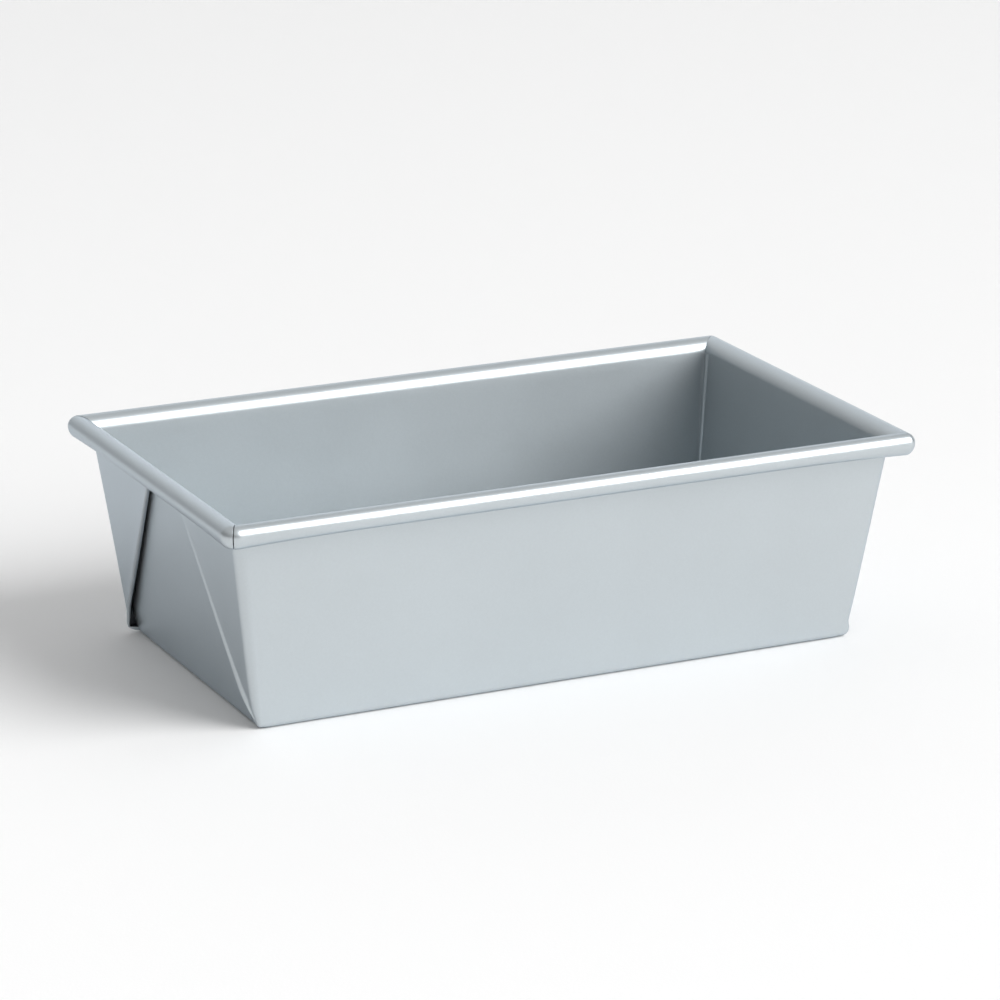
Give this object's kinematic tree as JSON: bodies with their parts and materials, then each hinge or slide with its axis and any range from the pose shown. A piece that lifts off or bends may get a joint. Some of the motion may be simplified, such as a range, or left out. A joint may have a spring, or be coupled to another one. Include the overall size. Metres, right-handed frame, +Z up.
{
  "type": "loaf pan",
  "caption": "Rectangular loaf pan folded from one coated steel sheet, with leaning walls, folded corner ears on its ends and a rolled rim curled round a steel wire.",
  "frame": {"origin": "middle of the floor's underside, on the surface that the pan stands on", "axes": "+X along the pan's length, +Y across it to the back, +Z up out of its mouth"},
  "size_m": [0.2452, 0.1426, 0.0732],
  "materials": {
    "coated_steel": "satin blue-grey release coating",
    "rim_steel": "drawn wire"
  },
  "bodies": {
    "root": {"pan_body": "coated_steel", "rim_wire": "rim_steel"}
  },
  "joints": []
}
